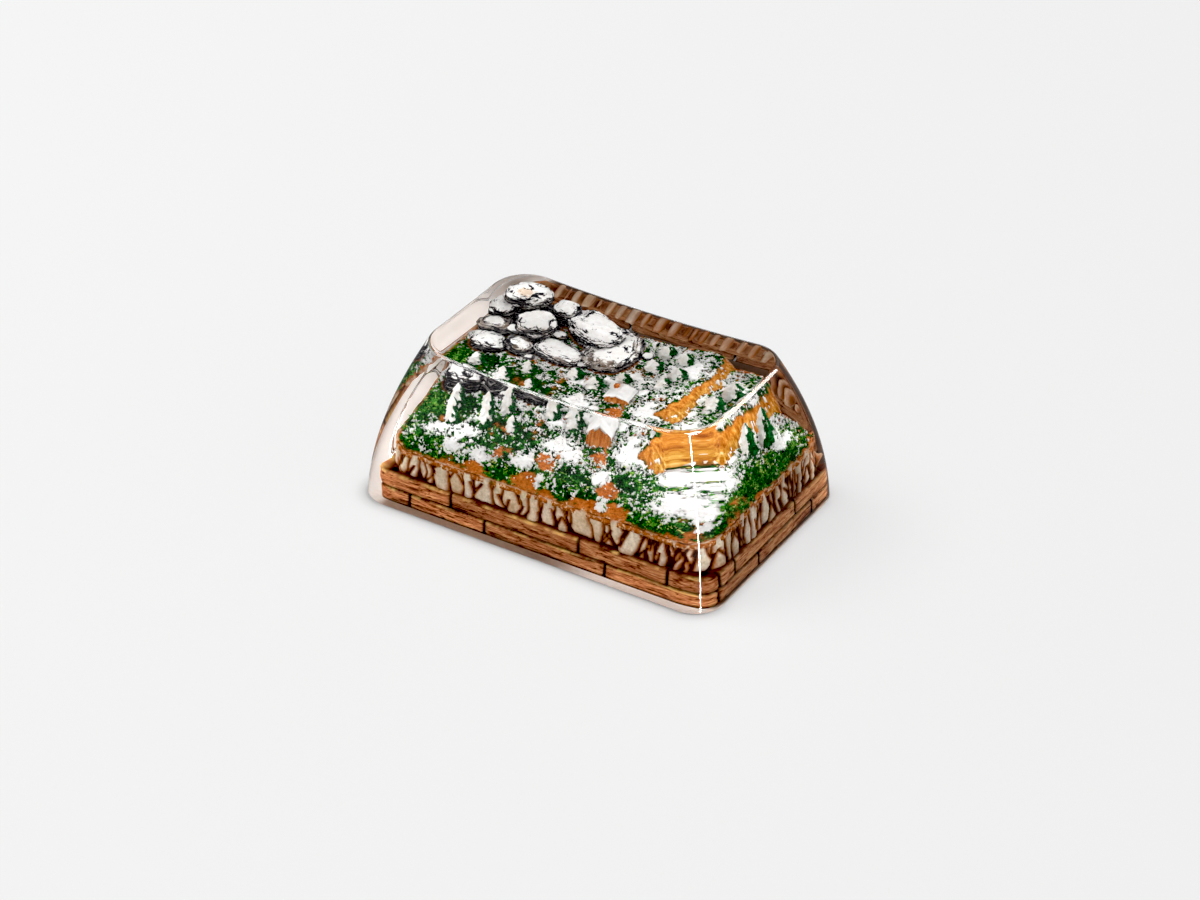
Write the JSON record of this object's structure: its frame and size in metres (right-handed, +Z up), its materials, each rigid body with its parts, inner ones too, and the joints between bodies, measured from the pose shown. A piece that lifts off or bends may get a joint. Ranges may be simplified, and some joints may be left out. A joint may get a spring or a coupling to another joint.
{
  "type": "artisan keycap",
  "caption": "Clear resin keycap with a dished top, enclosing a small winter landscape of rocks, conifers, a cabin, moss and snow on a plank skirt, hollow beneath with a cross stem socket.",
  "frame": {"origin": "middle of the base rectangle, on the plane the cap rests on", "axes": "+X along the long side, -Y towards the typist, +Z up through the dished top"},
  "size_m": [0.0276, 0.0181, 0.0111],
  "materials": {
    "clear_resin": "polished clear cast resin, bottom rim sanded matt",
    "painted_base": "opaque resin, hand painted as wood planks, pale stones and orange soil",
    "painted_rock": "grey rock with dark washes and white dry-brushed tops",
    "moss": "short green fibres",
    "snow": "matt white flakes",
    "painted_tree": "dark green with white snow on the boughs",
    "painted_cabin": "orange-brown walls under a white snowy roof"
  },
  "bodies": {
    "root": {"clear_resin_cap": "clear_resin", "scenic_base": "painted_base", "boulder_great_slab": "painted_rock", "boulder_strata_slab": "painted_rock", "boulder_front_slab": "painted_rock", "boulder_left_foot": "painted_rock", "boulder_small_grey": "painted_rock", "boulder_left_ledge": "painted_rock", "boulder_left_shoulder": "painted_rock", "boulder_round": "painted_rock", "boulder_right_knob": "painted_rock", "boulder_summit": "painted_rock", "pebbles": "painted_rock", "pine_trees": "painted_tree", "cabin": "painted_cabin", "moss_turf": "moss", "snow_patches": "snow"}
  },
  "joints": []
}
